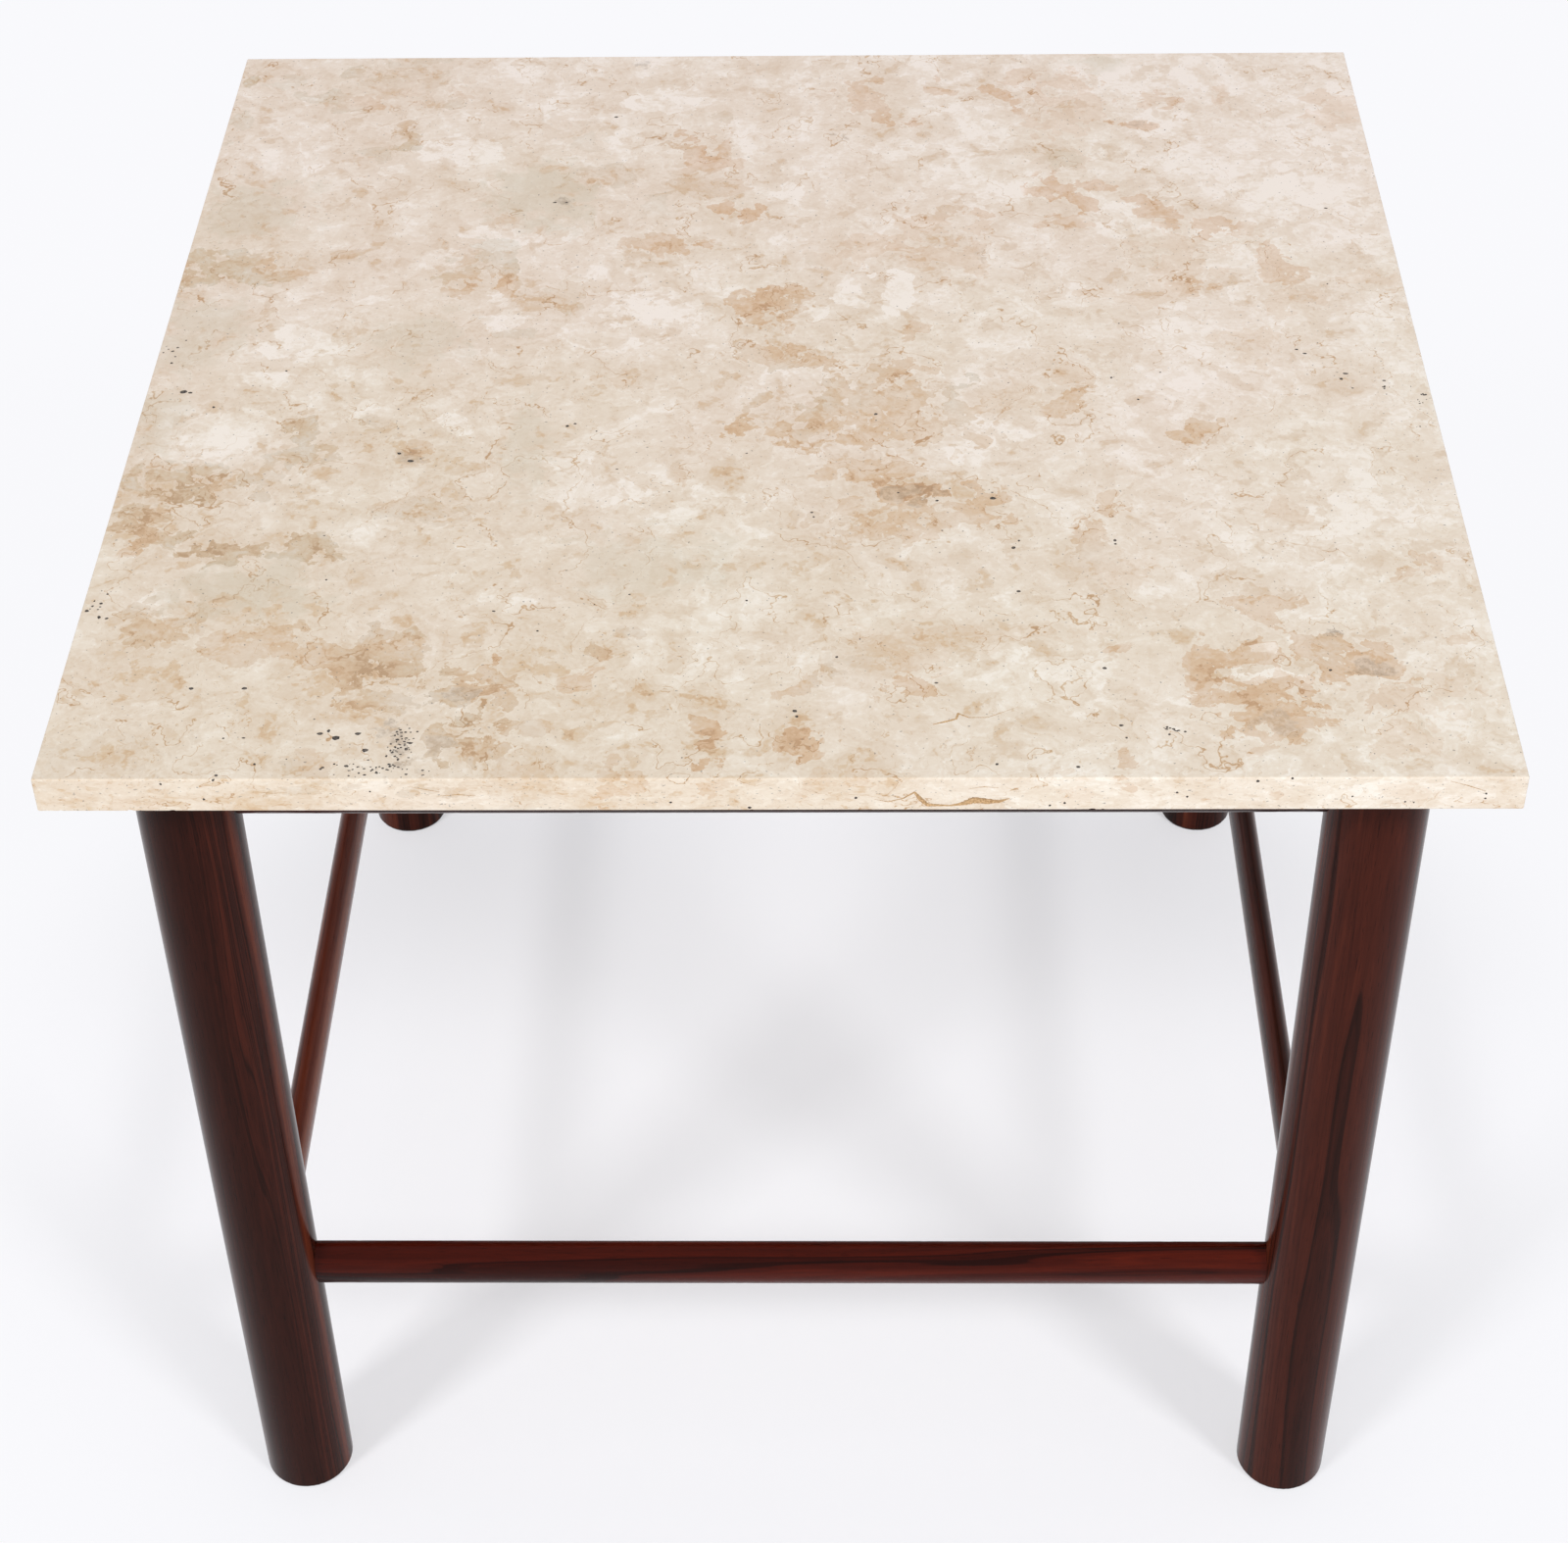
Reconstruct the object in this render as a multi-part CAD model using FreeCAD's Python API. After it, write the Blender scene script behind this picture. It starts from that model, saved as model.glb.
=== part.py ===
import FreeCAD, Part
import os

# Square side table: a loose stone slab on four round legs tied by oval rails.
# Millimetres, +Z up, origin on the floor below the middle of the slab, front at -Y.

# Overall sizes
top_width = 700.0
top_depth = 700.0
overall_height = 595.0

# Stone slab
stone_thickness = 20.0
stone_edge_ease = 1.0

# Round legs, set in from the edge of the slab to their axes
leg_diameter = 51.0
leg_inset = 56.0
leg_edge_ease = 0.6

# Oval rails: the low stretchers and the upper rails share one section
rail_width = 16.0
rail_height = 32.0
stretcher_centre_height = 180.0
upper_rail_gap = 18.0

# Oval tenons on the rails and their mortises in the legs
tenon_shoulder = 3.0
mortise_web = 2.0
tenon_end_gap = 0.5
tenon_side_gap = 0.1
shoulder_gap = 0.05

# Felt discs under the slab and under the feet, set back from the edge of the leg
top_felt_thickness = 2.0
top_felt_margin = 5.0
foot_felt_thickness = 1.5
foot_felt_margin = 0.8

# How far a cut runs past the face that it opens
cut_overrun = 5.0

# Places that follow from the sizes above
leg_radius = leg_diameter / 2
leg_x = top_width / 2 - leg_inset
leg_y = top_depth / 2 - leg_inset
stone_underside = overall_height - stone_thickness
leg_top = stone_underside - top_felt_thickness
upper_rail_centre_height = stone_underside - upper_rail_gap - rail_height / 2
rail_heights = (stretcher_centre_height, upper_rail_centre_height)

# The two mortises at one height meet at a right angle, so each stops short of the other
tenon_width = rail_width - 2 * tenon_shoulder
tenon_height = rail_height - 2 * tenon_shoulder
mortise_width = tenon_width + 2 * tenon_side_gap
mortise_height = tenon_height + 2 * tenon_side_gap
mortise_floor_radius = mortise_width / 2 + mortise_web
tenon_tip_radius = mortise_floor_radius + tenon_end_gap

UP = FreeCAD.Vector(0, 0, 1)
CENTRE = FreeCAD.Vector(0, 0, 0)


def oval_bar(width, height, start, end):
    """A bar of oval section along X, centred on the X axis, from start to end."""
    side_point = FreeCAD.Vector(0, width / 2, 0)
    crown_point = FreeCAD.Vector(0, 0, height / 2)
    if height >= width:
        outline = Part.Ellipse(crown_point, side_point, CENTRE)
    else:
        outline = Part.Ellipse(side_point, crown_point, CENTRE)
    section = Part.Face(Part.Wire(outline.toShape()))
    bar = section.extrude(FreeCAD.Vector(end - start, 0, 0))
    bar.translate(FreeCAD.Vector(start, 0, 0))
    return bar


def upright_disc(radius, bottom, top):
    """A round solid on the Z axis, from bottom to top."""
    return Part.makeCylinder(radius, top - bottom, FreeCAD.Vector(0, 0, bottom))


def turned_to_y(shape):
    """A shape made along +X, turned about the Z axis to lie along +Y."""
    turned = shape.copy()
    turned.rotate(CENTRE, UP, 90)
    return turned


def moved(shape, x, y, z):
    """A copy of a shape at another place."""
    copy = shape.copy()
    copy.translate(FreeCAD.Vector(x, y, z))
    return copy


def stone_slab():
    """The slab, with every edge eased."""
    corner = FreeCAD.Vector(-top_width / 2, -top_depth / 2, stone_underside)
    slab = Part.makeBox(top_width, top_depth, stone_thickness, corner)
    return slab.makeFillet(stone_edge_ease, slab.Edges)


def leg(x_sign, y_sign):
    """One leg on the Z axis, with mortises that open towards the middle of the table."""
    post = upright_disc(leg_radius, foot_felt_thickness, leg_top)
    rims = [edge for edge in post.Edges if isinstance(edge.Curve, Part.Circle)]
    post = post.makeFillet(leg_edge_ease, rims)
    mortise = oval_bar(mortise_width, mortise_height, mortise_floor_radius, leg_radius + cut_overrun)
    for centre_height in rail_heights:
        towards_x = mortise.copy()
        towards_y = turned_to_y(mortise)
        if x_sign > 0:
            towards_x.rotate(CENTRE, UP, 180)
        if y_sign > 0:
            towards_y.rotate(CENTRE, UP, 180)
        post = post.cut(moved(towards_x, 0, 0, centre_height))
        post = post.cut(moved(towards_y, 0, 0, centre_height))
    return post


def rail(leg_distance):
    """One rail along X between two leg axes, its shoulders hollowed to fit round the legs."""
    half_span = leg_distance / 2
    bar = oval_bar(rail_width, rail_height, -half_span, half_span)
    hollow = upright_disc(leg_radius + shoulder_gap, -rail_height, rail_height)
    for sign in (-1, 1):
        bar = bar.cut(moved(hollow, sign * half_span, 0, 0))
    tenon_reach = half_span - tenon_tip_radius
    tenons = oval_bar(tenon_width, tenon_height, -tenon_reach, tenon_reach)
    return bar.fuse(tenons).removeSplitter()


def save(shape, node):
    """Write one piece as a single solid."""
    solids = shape.Solids
    if len(solids) != 1 or not solids[0].isValid():
        raise ValueError(node + " is not one valid solid")
    solids[0].exportStep(os.path.join("parts", node + ".step"))
    print(node, round(solids[0].Volume), "mm3")


os.makedirs("parts", exist_ok=True)

# Slab
save(stone_slab(), "stone_top")

# Legs with their felt discs, one set at each corner
foot_felt = upright_disc(leg_radius - foot_felt_margin, 0, foot_felt_thickness)
top_felt = upright_disc(leg_radius - top_felt_margin, leg_top, stone_underside)
for y_name, y_sign in (("front", -1), ("back", 1)):
    for x_name, x_sign in (("left", -1), ("right", 1)):
        place = (x_sign * leg_x, y_sign * leg_y, 0)
        corner_name = y_name + "_" + x_name
        save(moved(leg(x_sign, y_sign), *place), "leg_" + corner_name)
        save(moved(foot_felt, *place), "foot_felt_" + corner_name)
        save(moved(top_felt, *place), "top_felt_" + corner_name)

# Rails, one low stretcher and one upper rail on each side
rail_across = rail(2 * leg_x)
rail_along = turned_to_y(rail(2 * leg_y))
for rail_name, centre_height in zip(("stretcher_", "upper_rail_"), rail_heights):
    save(moved(rail_across, 0, -leg_y, centre_height), rail_name + "front")
    save(moved(rail_across, 0, leg_y, centre_height), rail_name + "back")
    save(moved(rail_along, -leg_x, 0, centre_height), rail_name + "left")
    save(moved(rail_along, leg_x, 0, centre_height), rail_name + "right")
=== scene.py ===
# %% [markdown]
# # A square side table in travertine and rosewood
# The table is a loose slab of honed travertine on four round legs of dark, lacquered rosewood. Slim oval
# rails tie the legs together, near the floor and again just under the slab, and thin felt discs lie under
# the slab and under the feet.
#
# The CAD model already holds every rigid piece at its real size, so this lesson dresses it. The wooden
# pieces stay as they are and get a finish. The slab and the felt discs are modelled again, because a real
# stone has pits, chips and cracks, and real felt has a soft cut edge.

# %% Load the table and keep its box
import math
import random

import bmesh
import bpy
import numpy as np
from mathutils import Euler, Matrix, Quaternion, Vector
from mathutils import noise as shape_noise


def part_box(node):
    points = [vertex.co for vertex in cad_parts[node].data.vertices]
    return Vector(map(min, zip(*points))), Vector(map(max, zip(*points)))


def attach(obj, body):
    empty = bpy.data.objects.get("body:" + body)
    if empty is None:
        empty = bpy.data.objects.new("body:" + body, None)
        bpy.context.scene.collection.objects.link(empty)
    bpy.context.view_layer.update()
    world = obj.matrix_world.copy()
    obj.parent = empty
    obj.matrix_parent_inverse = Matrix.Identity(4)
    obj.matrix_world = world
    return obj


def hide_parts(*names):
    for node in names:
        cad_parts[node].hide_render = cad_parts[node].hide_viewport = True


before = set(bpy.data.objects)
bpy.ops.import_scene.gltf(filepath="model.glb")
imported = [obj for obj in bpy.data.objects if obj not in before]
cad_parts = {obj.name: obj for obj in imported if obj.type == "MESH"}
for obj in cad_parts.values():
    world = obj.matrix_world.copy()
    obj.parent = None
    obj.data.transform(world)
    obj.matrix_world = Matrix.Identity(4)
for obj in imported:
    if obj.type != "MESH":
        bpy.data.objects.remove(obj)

MM = 0.001
scene = bpy.context.scene
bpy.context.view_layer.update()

# %% [markdown]
# ## The camera
# The picture is taken from a standing person's eye height, looking down on the slab, with a moderately long
# lens that keeps the edges of the slab nearly parallel. A Track To constraint could aim the camera, but then
# the small roll of a hand-held camera would need another trick. Here the aim is one quaternion and the roll
# is a second one about the camera's own axis.

# %% Aim the camera
CAMERA_PLACE = Vector((0.0316, -1.4267, 1.5394))
CAMERA_AIM = Vector((-0.0056, 0.0, 0.2939))
CAMERA_ROLL = math.radians(-1.08)
LENS_MM = 70.5
SENSOR_MM = 36.0


def aimed(place, aim):
    """The level rotation that points a camera or a lamp from one place at another."""
    return (aim - place).to_track_quat("-Z", "Y")


camera_settings = bpy.data.cameras.new("camera")
camera_settings.lens = LENS_MM
camera_settings.sensor_width = SENSOR_MM
camera = bpy.data.objects.new("camera", camera_settings)
camera.location = CAMERA_PLACE
own_axis = Vector((0, 0, 1))
camera.rotation_euler = (aimed(CAMERA_PLACE, CAMERA_AIM) @ Quaternion(own_axis, CAMERA_ROLL)).to_euler()
scene.collection.objects.link(camera)
scene.camera = camera
scene.view_settings.view_transform = "Standard"
print("The camera stands", round(CAMERA_PLACE.z, 2), "metres above the floor")

# %% [markdown]
# ## Soft light from both sides
# Two large soft boxes stand in front of the table, one on each side, and an even grey light fills in from
# all round. The two lamps give each foot a pair of faint shadows. Bare point lamps would be simpler, but
# they would draw hard shadows. The lamps are only as strong as a white sheet of paper needs to come out
# white, so that every colour below renders about as it is written.

# %% Hang the lamps
LAMP_AIM = Vector((0, 0, 0.35))
LAMP_SIDE = 1.6
LAMPS = {
    "soft_box_left": (Vector((-4.9, -5.4, 6.7)), 354.0),
    "soft_box_right": (Vector((4.9, -5.4, 6.7)), 340.0),
}
for name, (place, power) in LAMPS.items():
    lamp = bpy.data.lights.new(name, "AREA")
    lamp.size = LAMP_SIDE
    lamp.energy = power
    holder = bpy.data.objects.new(name, lamp)
    holder.location = place
    holder.rotation_euler = aimed(place, LAMP_AIM).to_euler()
    scene.collection.objects.link(holder)
print("Lamps:", ", ".join(LAMPS))

# %% [markdown]
# ## Node helpers
# A finish is a tree of nodes, and wiring each node by hand takes three or four lines. The helpers below
# shorten that: a value may be a plain number, a colour or the output of another node, and one function
# feeds any of them to a socket. Colours are written as they look on a screen, from 0 to 255, and turned
# into the linear numbers that Blender works with.

# %% Helpers for nodes and colours
FULL_LEVEL = 255
# The usual curve of a screen: a straight toe, and a power above it
TOE_END, TOE_SLOPE = 0.04045, 12.92
CURVE_OFFSET, CURVE_POWER = 0.055, 2.4


def screen_colour(red, green, blue):
    """A colour as seen on a screen, as the linear colour that a socket takes."""
    linear = []
    for level in (red / FULL_LEVEL, green / FULL_LEVEL, blue / FULL_LEVEL):
        if level <= TOE_END:
            linear.append(level / TOE_SLOPE)
        else:
            linear.append(((level + CURVE_OFFSET) / (1 + CURVE_OFFSET)) ** CURVE_POWER)
    return (*linear, 1.0)


def feed(tree, socket, value):
    """Give a socket a value, or the output of another node."""
    if isinstance(value, bpy.types.NodeSocket):
        tree.links.new(value, socket)
    else:
        socket.default_value = value


def add_node(tree, kind, inputs=None, **settings):
    """One node with its settings made and its sockets fed."""
    made = tree.nodes.new("ShaderNode" + kind)
    for name, value in settings.items():
        setattr(made, name, value)
    for socket, value in (inputs or {}).items():
        feed(tree, made.inputs[socket], value)
    return made


def maths(tree, operation, first, second=0.0, third=0.0):
    """A sum of up to three numbers."""
    return add_node(tree, "Math", {0: first, 1: second, 2: third}, operation=operation).outputs[0]


print("Mid grey is", round(screen_colour(128, 128, 128)[0], 3), "in linear light")

# %% [markdown]
# ## A white floor
# The floor is a wide sheet of white paper. Lit evenly it would still come out grey beside the table, so part
# of what the camera sees there is a white of its own, and more of it the further the floor runs from the
# table. The rest is an ordinary matt surface, which keeps the table's soft shadows. A floor that only glows
# would be simpler, but the table would seem to float above it.

# %% Lay the floor
FLOOR_HALF_SIDE = 20.0
FLOOR_DROP = 0.2 * MM
FLOOR_WHITE = screen_colour(250, 250, 253)
OWN_WHITE_NEAR, OWN_WHITE_FAR = 0.42, 0.95
NEAR_FLOOR, FAR_FLOOR = 0.32, 0.62


def object_from(shape, name):
    """A finished bmesh as an object at the origin."""
    mesh = bpy.data.meshes.new(name)
    shape.to_mesh(mesh)
    shape.free()
    made = bpy.data.objects.new(name, mesh)
    scene.collection.objects.link(made)
    return made


def shown_to_eye(tree):
    """1 where a ray leads to the eye, straight or by way of gloss or glass, and 0 elsewhere."""
    path = add_node(tree, "LightPath").outputs
    seen = maths(tree, "MAXIMUM", path["Is Camera Ray"], path["Is Glossy Ray"])
    return maths(tree, "MAXIMUM", seen, path["Is Transmission Ray"])


shape = bmesh.new()
bmesh.ops.create_grid(shape, x_segments=1, y_segments=1, size=FLOOR_HALF_SIDE)
bmesh.ops.translate(shape, verts=shape.verts, vec=(0, 0, -FLOOR_DROP))
floor = object_from(shape, "floor")

paper = bpy.data.materials.new("white_paper")
paper.use_nodes = True
tree = paper.node_tree
tree.nodes.clear()
matt = add_node(tree, "BsdfDiffuse", {"Color": FLOOR_WHITE}).outputs[0]
own_white = add_node(tree, "Emission", {"Color": FLOOR_WHITE}).outputs[0]
place = add_node(tree, "TexCoord").outputs["Object"]
away = add_node(tree, "VectorMath", {0: place}, operation="LENGTH").outputs["Value"]
limits = {"Value": away, "From Min": NEAR_FLOOR, "From Max": FAR_FLOOR,
          "To Min": OWN_WHITE_NEAR, "To Max": OWN_WHITE_FAR}
own_share = add_node(tree, "MapRange", limits, interpolation_type="SMOOTHSTEP").outputs["Result"]
share = maths(tree, "MULTIPLY", shown_to_eye(tree), own_share)
both = add_node(tree, "MixShader", {0: share, 1: matt, 2: own_white}).outputs[0]
add_node(tree, "OutputMaterial", {"Surface": both})
floor.data.materials.append(paper)
print("Floor laid", round(FLOOR_DROP / MM, 1), "mm below the feet")

# %% [markdown]
# ## A white world
# Beyond the floor the world shows the same white to the eye. As a source of light it would drown the soft
# boxes, so what it sheds on the table is a slightly cool mid grey. One background could not do both. A Light
# Path node tells the two kinds of ray apart and picks one of two backgrounds.

# %% Set the world
FILL_LIGHT = screen_colour(182, 183, 187)

world = bpy.data.worlds.new("studio")
world.use_nodes = True
scene.world = world
tree = world.node_tree
tree.nodes.clear()
fill = add_node(tree, "Background", {"Color": FILL_LIGHT}).outputs[0]
white = add_node(tree, "Background", {"Color": FLOOR_WHITE}).outputs[0]
both = add_node(tree, "MixShader", {0: shown_to_eye(tree), 1: fill, 2: white}).outputs[0]
add_node(tree, "OutputWorld", {"Surface": both})
print("The world sheds", round(FILL_LIGHT[0], 2), "of a full white")

# %% [markdown]
# ## The slab's shape
# The slab is sawn, ground flat and lightly eased along its edges. A cube with bevelled edges would be its
# plain shape. This one starts from a fine grid instead, whose rim is extruded downwards, because the stains
# of the stone are painted onto its vertices further on, and paint needs vertices to hold it.

# %% Block of the slab
TOP_CELLS = 200
SIDE_CELLS = 6
SLAB_EDGE_EASE = 1.0 * MM
SLAB_EDGE_STEPS = 3
SHARP_ANGLE = math.radians(45)

slab_low, slab_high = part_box("stone_top")
slab_size = slab_high - slab_low
slab_half = slab_size.x / 2
slab_top = slab_high.z
slab_front = slab_low.y

shape = bmesh.new()
bmesh.ops.create_grid(shape, x_segments=TOP_CELLS, y_segments=TOP_CELLS, size=slab_half)
bmesh.ops.translate(shape, verts=shape.verts, vec=(0, 0, slab_top))
rim = [edge for edge in shape.edges if edge.is_boundary]
for _ in range(SIDE_CELLS):
    wall = bmesh.ops.extrude_edge_only(shape, edges=rim)["geom"]
    lower = [item for item in wall if isinstance(item, bmesh.types.BMVert)]
    bmesh.ops.translate(shape, verts=lower, vec=(0, 0, -slab_size.z / SIDE_CELLS))
    rim = [edge for edge in wall if isinstance(edge, bmesh.types.BMEdge) and edge.is_boundary]
bmesh.ops.edgeloop_fill(shape, edges=rim)
bmesh.ops.recalc_face_normals(shape, faces=shape.faces)
arrises = [edge for edge in shape.edges if edge.calc_face_angle(0) > SHARP_ANGLE]
bmesh.ops.bevel(shape, geom=arrises, offset=SLAB_EDGE_EASE, segments=SLAB_EDGE_STEPS,
                profile=0.5, material=-1, affect="EDGES")
slab = object_from(shape, "travertine_slab")
print("Slab:", [round(side / MM) for side in slab_size], "mm,", len(slab.data.polygons), "faces")

# %% [markdown]
# ## Pits
# Travertine is full of small holes. A bump map could only hint at them, so they are cut out of the mesh.
# Every pit is a small rough ball, which a Boolean takes out of the slab further on. The larger pits are
# placed where the stone shows them: alone, in pairs, and in a dark cluster near the front left
# corner. Fine pits are scattered by a seeded draw, so they land in the same places each time.

# %% Pits in the top
HOLLOW_SEED, TURN_SEED = 12, 7
BALL_ROUGHNESS = 0.25
PIT_WALL, EARTH_WALL, FRESH_WALL = range(3)
# Place on the top from its middle, and radius, all in millimetres
TOP_PITS = (
    (-330, -28, 1.6), (-326, -29, 1.1), (-205, -87, 1.2), (-198, -94, 1.3), (-193, -92, 0.7),
    (-117, -62, 0.9), (-113, -60, 0.7), (-101, -67, 0.6), (-285, -283, 1.1), (-259, -283, 1.1),
    (-218, -317, 1.5), (-214, -315, 1.1), (-210, -320, 1.5), (-200, -317, 1.4), (-195, -329, 1.2),
    (-254, -320, 0.7), (-246, -339, 0.7), (-263, -347, 0.7), (-347, -222, 1.1), (-340, -227, 1.1),
    (-336, -228, 0.8), (-341, -216, 0.8), (-230, -197, 0.7), (-143, -223, 0.8), (-120, -239, 0.7),
    (-17, -215, 0.7), (-88, -102, 0.6), (-20, -88, 0.6), (-276, -8, 0.7), (-311, -43, 0.8),
    (-109, 272, 1.0), (-140, 170, 0.9), (-133, 170, 0.8), (316, 159, 1.0), (282, 9, 0.8), (286, 5, 0.8),
    (303, -20, 1.5), (306, -15, 1.2), (308, -29, 0.8), (178, -18, 0.8), (191, -39, 0.7), (205, -13, 0.7),
    (49, -52, 0.9), (49, -58, 0.5), (80, -131, 0.9), (60, -124, 0.8), (109, -129, 1.2), (109, -124, 0.6),
    (15, -141, 0.8), (16, -145, 0.6), (82, -157, 0.6), (118, -172, 1.1), (121, -166, 0.8),
    (170, -166, 1.0), (170, -169, 0.9), (119, -208, 1.0), (28, -260, 0.8), (158, -269, 0.9),
    (76, -280, 0.8), (8, -301, 1.2), (9, -305, 1.0), (163, -312, 1.2), (165, -321, 0.7),
    (141, -342, 0.8), (103, -340, 0.9), (267, -271, 0.8),
)
# Place, half width, half depth and number of pits in a cluster
CLUSTERS = (
    (-179, -326, 6, 13, 60), (-185, -343, 30, 6, 44), (186, -315, 5, 4, 11), (344, -40, 4, 9, 10),
    (326, -32, 3, 11, 7), (-341, -215, 8, 10, 8), (-342, 10, 8, 20, 10),
)
CLUSTER_PIT = (0.3, 0.75)
FINE_PITS = 80
FINE_PIT = (0.25, 0.5)
# Least and greatest length and width of a pit, and its depth, as shares of its radius
PIT_LENGTH, PIT_WIDTH, PIT_DEPTH = (0.8, 1.6), (0.8, 1.3), 0.9

hollow_draw = random.Random(HOLLOW_SEED)
turn_draw = random.Random(TURN_SEED)
hollows = bmesh.new()


def rough_ball(centre, radius, wall, squash=(1.0, 1.0, 1.0)):
    """A small uneven ball, in metres, added to the bmesh of hollows."""
    turn = Euler([turn_draw.uniform(0, math.tau) for _ in range(3)]).to_matrix().to_4x4()
    place = Matrix.Translation(centre) @ Matrix.Diagonal((*squash, 1.0)) @ turn
    ball = bmesh.ops.create_icosphere(hollows, subdivisions=1, radius=radius, matrix=place)["verts"]
    for vert in ball:
        vert.co = centre.lerp(vert.co, 1 + hollow_draw.uniform(-BALL_ROUGHNESS, BALL_ROUGHNESS))
    for face in {face for vert in ball for face in vert.link_faces}:
        face.material_index = wall


pits = list(TOP_PITS)
for x, y, half_wide, half_deep, count in CLUSTERS:
    for _ in range(count):
        along = hollow_draw.gauss(0, half_wide / 2)
        across = hollow_draw.gauss(0, half_deep / 2)
        pits.append((x + along, y + across, hollow_draw.uniform(*CLUSTER_PIT)))
reach = slab_half / MM
for _ in range(FINE_PITS):
    x = hollow_draw.uniform(-reach, reach)
    y = hollow_draw.uniform(-reach, reach)
    pits.append((x, y, hollow_draw.uniform(*FINE_PIT)))
for x, y, radius in pits:
    stretch = (hollow_draw.uniform(*PIT_LENGTH), hollow_draw.uniform(*PIT_WIDTH), PIT_DEPTH)
    rough_ball(Vector((x * MM, y * MM, slab_top)), radius * MM, PIT_WALL, stretch)
print(len(pits), "pits in the top")

# %% [markdown]
# ## Cracks
# One wide crack runs along the front face, and a few hairline cracks lie on the face and on the top. A crack
# could be cut with a thin swept blade, but its width changes all the way. A chain of balls, set so close that
# they run into each other, follows any width and leaves a rough wall.

# %% Cracks, and pits in the front face
# Along the front face, depth below the top, and radius, in millimetres
FRONT_PITS = (
    (37, 12, 0.8), (135, 15.6, 0.8), (128, 17, 0.7), (224, 2, 0.9), (187, 9, 0.7), (192, 11.6, 0.7),
    (331, 10, 0.7), (331, 13, 0.6), (269, 11.6, 0.6), (294, 15, 0.6), (298, 15.4, 0.5), (-191, 7.6, 0.6),
    (-270, 12.4, 0.7), (-289, 2.8, 0.7), (-50, 14.8, 0.8), (-264, 0.4, 0.8), (240, 0.3, 0.8),
    (-13, 18, 0.9),
)
# Points of each crack along the front face: place, depth below the top, half width
FRONT_CRACKS = (
    ((46, 13, 0.2), (52, 14.5, 0.3), (59, 12.5, 0.35), (64.5, 8.5, 0.5), (67, 12.5, 1.0), (70.5, 16.5, 1.0),
     (81, 17, 0.45), (87, 15.8, 1.2), (92.5, 13.6, 2.0), (99, 14.4, 1.8), (104, 14.4, 1.0),
     (109, 12.5, 0.25)),
    ((-246, 7.5, 0.15), (-238, 8.6, 0.25), (-230, 8.2, 0.15)),
    ((-173, 4.5, 0.15), (-165, 6.4, 0.3), (-158, 8.0, 0.2)),
    ((-160, 10.6, 0.15), (-150, 9.6, 0.3), (-141, 10.4, 0.15)),
    ((90, 6.4, 0.15), (97, 5.2, 0.25), (104, 6.0, 0.15)),
    ((314, 2.4, 0.15), (322, 5.0, 0.3), (331, 8.6, 0.2)),
)
# The crack on the top: place from its middle and half width
TOP_CRACK = (
    (74, -311, 0.3), (80, -309, 0.7), (85, -307, 0.5), (86, -303, 0.5), (91, -306, 0.35),
    (100, -306, 0.25), (115, -298, 0.15),
)
CRACK_STEP = 0.5 * MM
FEWEST_STEPS = 2
CRACK_STRETCH = 1.4
CRACK_DEPTH = 0.8


def chain(points, squash):
    """A crack: balls set close together along a line of points with half widths."""
    for (start, start_radius), (end, end_radius) in zip(points, points[1:]):
        steps = max(FEWEST_STEPS, round((end - start).length / CRACK_STEP))
        for step in range(steps):
            share = step / steps
            radius = start_radius + (end_radius - start_radius) * share
            rough_ball(start.lerp(end, share), radius, EARTH_WALL, squash)


def on_front_face(x, depth):
    """A point of the front face, from millimetres along it and below the top."""
    return Vector((x * MM, slab_front, slab_top - depth * MM))


for x, depth, radius in FRONT_PITS:
    rough_ball(on_front_face(x, depth), radius * MM, PIT_WALL)
for line in FRONT_CRACKS:
    points = [(on_front_face(x, depth), width * MM) for x, depth, width in line]
    chain(points, (CRACK_STRETCH, CRACK_DEPTH, 1.0))
points = [(Vector((x * MM, y * MM, slab_top)), width * MM) for x, y, width in TOP_CRACK]
chain(points, (CRACK_STRETCH, 1.0, CRACK_DEPTH))
print(len(FRONT_CRACKS) + 1, "cracks")

# %% [markdown]
# ## Chips
# A slab that has been carried about has small chips along its edges, more of them below, where it was set
# down. Moving a few vertices of the edge inwards would also make chips, but they would be as coarse as the
# grid. Flattened balls on the edge, cut out with the pits, leave shell-shaped chips of fresh stone.

# %% Chips along the edges
# Side, place along it from its middle and radius, in millimetres
LOWER_CHIPS = (
    ("front", -306, 1.6), ("front", -301, 1.0), ("front", -286, 1.4), ("front", -270, 0.8),
    ("front", -12, 1.1), ("front", -30, 0.7), ("front", 113, 0.9), ("front", 148, 1.5),
    ("front", 153, 1.0), ("front", -339, 1.2), ("right", 210, 1.2), ("right", -95, 0.9),
    ("back", 40, 1.3), ("back", -260, 1.0), ("left", 120, 1.4), ("left", -310, 1.1), ("left", -20, 0.8),
    ("back", 300, 0.9),
)
UPPER_CHIPS = (
    ("front", -205, 0.8), ("front", -212, 0.7), ("front", 205, 0.7), ("left", -225, 1.0),
    ("left", -190, 0.7), ("right", -40, 0.9), ("right", 150, 0.7), ("back", -120, 0.8),
    ("back", 215, 0.7), ("left", 75, 0.6),
)
CHIP_SQUASH = (1.3, 1.3, 0.8)
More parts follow.
